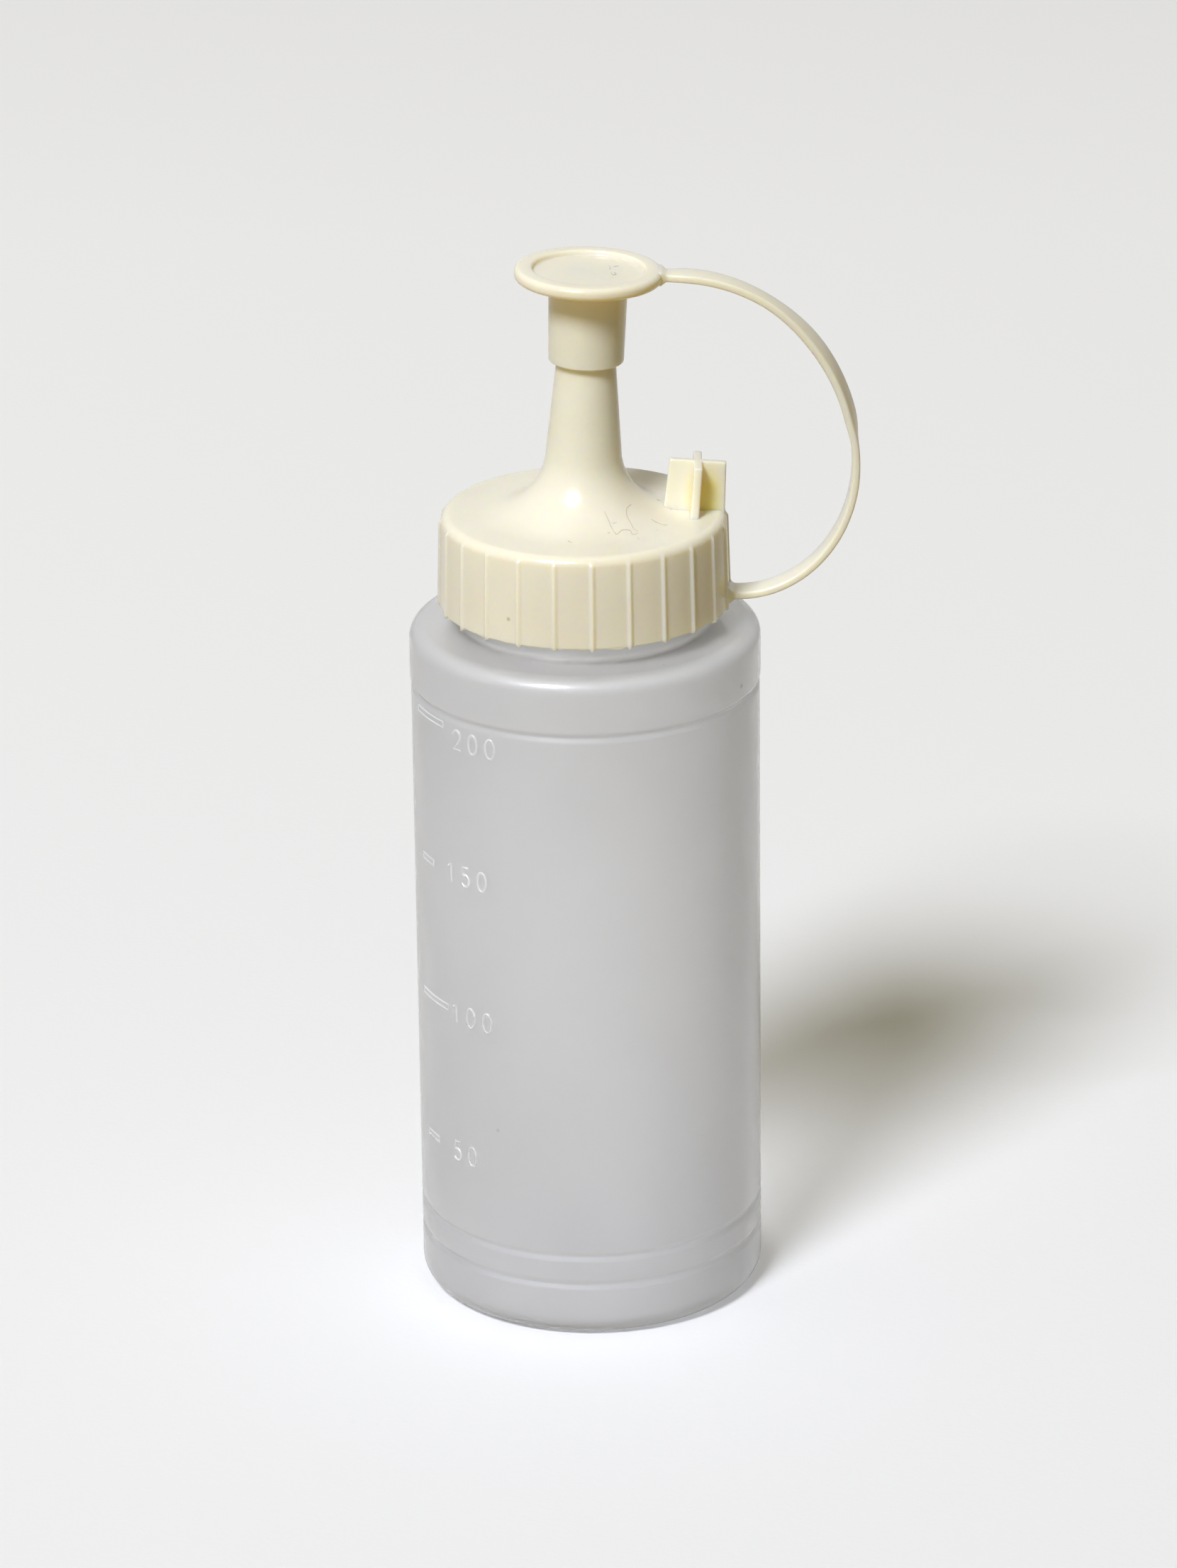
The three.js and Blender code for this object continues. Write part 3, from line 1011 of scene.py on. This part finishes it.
def addFibre(form, values, points):
    padded = [points[0], *points, points[-1]]
    steps = values["stepsBetween"]
    dense = []
    for four in zip(padded, padded[1:], padded[2:], padded[3:]):
        dense += [curvePoint(*four, step / steps) for step in range(steps)]
    dense.append(points[-1])
    padded = [dense[0], *dense, dense[-1]]
    loops = []
    for before, point, after in zip(padded, dense, padded[2:]):
        along = (after - before).normalized()
        side = along.cross(Vector((0, 0, 1))).normalized()
        up = side.cross(along)
        angles = [2 * math.pi * corner / values["sides"] for corner in range(values["sides"])]
        loops.append([
            point + (side * math.cos(angle) + up * math.sin(angle)) * values["radius"]
            for angle in angles
        ])
    skinLoops(form, loops)


# Height of the cap's top, which curves up into the nozzle
def flareHeight(values, x, y):
    inwards = max(values["flareRadius"] - math.hypot(x, y), 0)
    rise = values["flareRound"] - math.sqrt(values["flareRound"] ** 2 - inwards ** 2)
    return values["capTop"] + rise


def makeFibres(values):
    form = bmesh.new()
    for path in values["onCap"]:
        heights = [flareHeight(values, x, y) + values["above"] for x, y in path]
        points = [Vector((x, y, height)) for (x, y), height in zip(path, heights)]
        addFibre(form, values, points)
    finishPiece("fibres_on_cap", form, dustFibre, "screw_cap")
    form = bmesh.new()
    for path in values["onDisc"]:
        addFibre(form, values, [Vector((x, y, values["discHeight"])) for x, y in path])
    leanForm(form, lean)
    finishPiece("fibres_on_disc", form, dustFibre, "tip_cap")


makeFibres(fibres)
print("fibres made")


# One where the camera, a reflection or the bottle's inside looks, nought for a bounce of light
def isShown(tree):
    path = addNode(tree, "ShaderNodeLightPath").outputs
    shown = path["Is Camera Ray"]
    for name in ("Is Glossy Ray", "Is Transmission Ray"):
        shown = addMath(tree, "MAXIMUM", shown, path[name])
    return shown


# Floor: pale for the camera and in reflections, darker as a bounce of light
floor = {
    "size": 6000,
    "drop": 0.05,                # below the bottle's base, so that the two don't coincide
    "near": (0.81, 0.812, 0.815),
    "far": (0.92, 0.924, 0.935),
    "bounce": (0.33, 0.24, 0.05),
    "nearY": -200,
    "farY": 550,
    "grainScale": 900,
    "grainDetail": 3,
    "bump": 0.15,
    "bumpDepth": 0.2,
    "roughness": 0.9,
    "specular": 0.1,
}


def makeFloor(values):
    material = bpy.data.materials.new("paperFloor")
    material.use_nodes = True
    tree = material.node_tree
    shader = tree.nodes["Principled BSDF"]
    place = addPlace(tree)
    depth = addAxes(tree, place)["Y"]
    away = addRange(tree, depth, values["nearY"] * mm, values["farY"] * mm, 0, 1)
    shown = addMix(tree, away, (*values["near"], 1), (*values["far"], 1))
    colour = addMix(tree, isShown(tree), (*values["bounce"], 1), shown)
    tree.links.new(colour, shader.inputs["Base Color"])
    bump = addNode(tree, "ShaderNodeBump", None, {
        "Height": addNoise(tree, place, values["grainScale"], values["grainDetail"]),
        "Strength": values["bump"],
        "Distance": values["bumpDepth"] * mm,
    })
    tree.links.new(bump.outputs["Normal"], shader.inputs["Normal"])
    shader.inputs["Roughness"].default_value = values["roughness"]
    shader.inputs["Specular IOR Level"].default_value = values["specular"]
    form = bmesh.new()
    bmesh.ops.create_grid(form, x_segments=2, y_segments=2, size=values["size"] / 2 * mm)
    bmesh.ops.translate(form, vec=(0, 0, -values["drop"] * mm), verts=form.verts)
    mesh = bpy.data.meshes.new("floor")
    form.to_mesh(mesh)
    form.free()
    mesh.materials.append(material)
    ground = bpy.data.objects.new("floor", mesh)
    scene.collection.objects.link(ground)


makeFloor(floor)

# Light: a soft key from the front left, a broad one overhead and an even surround
key = {
    "place": (-1687, -3043, 3924),
    "aim": (0, 0, 60),
    "size": 1550,                # across the disk
    "power": 295,                # in watts
    "colour": (0.97, 0.995, 1.09),
}
overhead = {
    "place": (-100, 500, 2300),
    "aim": (0, 0, 60),
    "size": 2600,
    "power": 9,
    "colour": (1, 0.93, 0.66),
}
surround = {
    "colour": (0.1, 0.085, 0.035),
    "shown": (0.85, 0.85, 0.86),     # to the camera, in reflections and through the bottle
}


def makeLight(name, values):
    data = bpy.data.lights.new(name, "AREA")
    data.shape = "DISK"
    data.size = values["size"] * mm
    data.energy = values["power"]
    data.color = values["colour"]
    lamp = bpy.data.objects.new(name, data)
    scene.collection.objects.link(lamp)
    place = Vector(values["place"]) * mm
    lamp.location = place
    lamp.rotation_euler = (place - Vector(values["aim"]) * mm).to_track_quat("Z", "Y").to_euler()


def makeWorld(values):
    world = bpy.data.worlds.new("surround")
    world.use_nodes = True
    tree = world.node_tree
    background = tree.nodes["Background"]
    colour = addMix(tree, isShown(tree), (*values["colour"], 1), (*values["shown"], 1))
    tree.links.new(colour, background.inputs["Color"])
    scene.world = world


makeLight("key", key)
makeLight("overhead", overhead)
makeWorld(surround)
scene.view_settings.view_transform = "Standard"
print("stage and light made")
